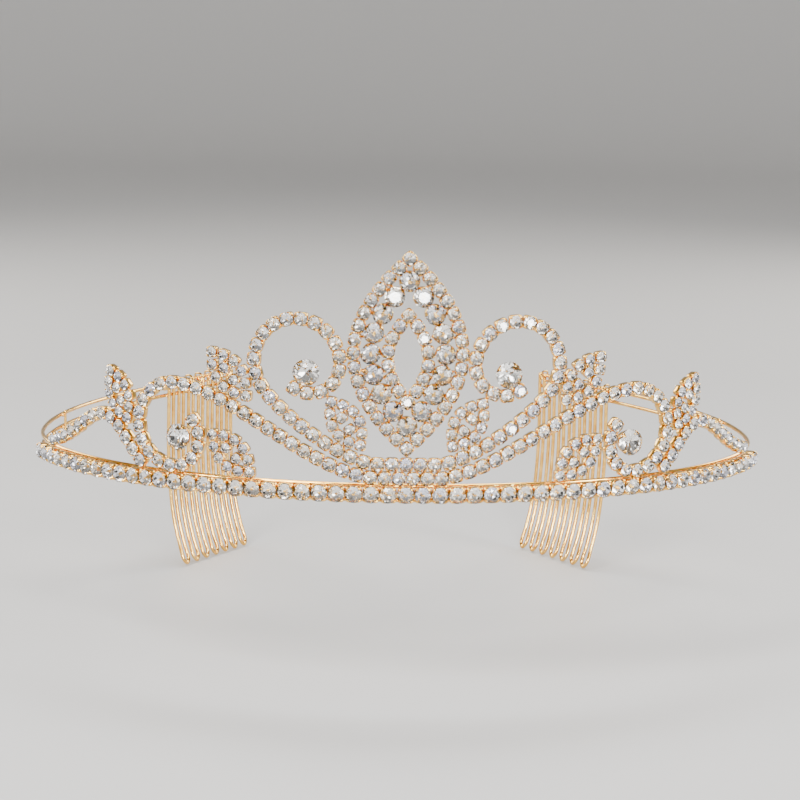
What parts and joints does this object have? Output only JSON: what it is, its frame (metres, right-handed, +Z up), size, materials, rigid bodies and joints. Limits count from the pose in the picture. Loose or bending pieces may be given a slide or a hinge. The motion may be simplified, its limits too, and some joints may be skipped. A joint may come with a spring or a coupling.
{
  "type": "bridal tiara",
  "caption": "Scrolled bridal tiara: a wire hoop with rows of stone cups, leaves and a pointed oval centre motif, and a wire comb at each end.",
  "frame": {"origin": "centre of the head opening, in the level plane midway between the two hoop wires", "axes": "+X to the wearer's left, +Z up along the centre motif, front of the tiara facing -Y"},
  "size_m": [0.1552, 0.1501, 0.0911],
  "materials": {
    "gold": "polished yellow gold plate",
    "crystal": "clear faceted crystal with a reflective back"
  },
  "bodies": {
    "root": {"base_row": "gold", "lower_chain": "gold", "upper_chain": "gold", "left_end_arch": "gold", "left_inner_leaf": "gold", "left_middle_leaf": "gold", "left_lower_leaf": "gold", "left_end_leaf": "gold", "right_end_arch": "gold", "right_inner_leaf": "gold", "right_middle_leaf": "gold", "right_lower_leaf": "gold", "right_end_leaf": "gold", "left_upper_chaton_cup": "gold", "left_upper_chaton": "crystal", "left_lower_chaton_cup": "gold", "left_lower_chaton": "crystal", "right_upper_chaton_cup": "gold", "right_upper_chaton": "crystal", "right_lower_chaton_cup": "gold", "right_lower_chaton": "crystal", "motif_outer_ring": "gold", "motif_middle_ring": "gold", "motif_inner_ring": "gold", "motif_stone_1": "crystal", "motif_stone_2": "crystal", "motif_stone_3": "crystal", "motif_stone_4": "crystal", "motif_stone_5": "crystal", "motif_stone_6": "crystal", "motif_stone_7": "crystal", "motif_stone_8": "crystal", "motif_stone_9": "crystal", "motif_stone_10": "crystal", "motif_stone_11": "crystal", "motif_stone_12": "crystal", "motif_stone_13": "crystal", "motif_stone_14": "crystal", "motif_stone_15": "crystal", "motif_stone_16": "crystal", "hoop_upper_wire": "gold", "hoop_lower_wire": "gold", "left_cross_bar": "gold", "left_comb_binding": "gold", "left_comb_tooth_1": "gold", "left_comb_tooth_2": "gold", "left_comb_tooth_3": "gold", "left_comb_tooth_4": "gold", "left_comb_tooth_5": "gold", "left_comb_tooth_6": "gold", "left_comb_tooth_7": "gold", "right_cross_bar": "gold", "right_comb_binding": "gold", "right_comb_tooth_1": "gold", "right_comb_tooth_2": "gold", "right_comb_tooth_3": "gold", "right_comb_tooth_4": "gold", "right_comb_tooth_5": "gold", "right_comb_tooth_6": "gold", "right_comb_tooth_7": "gold"}
  },
  "joints": []
}
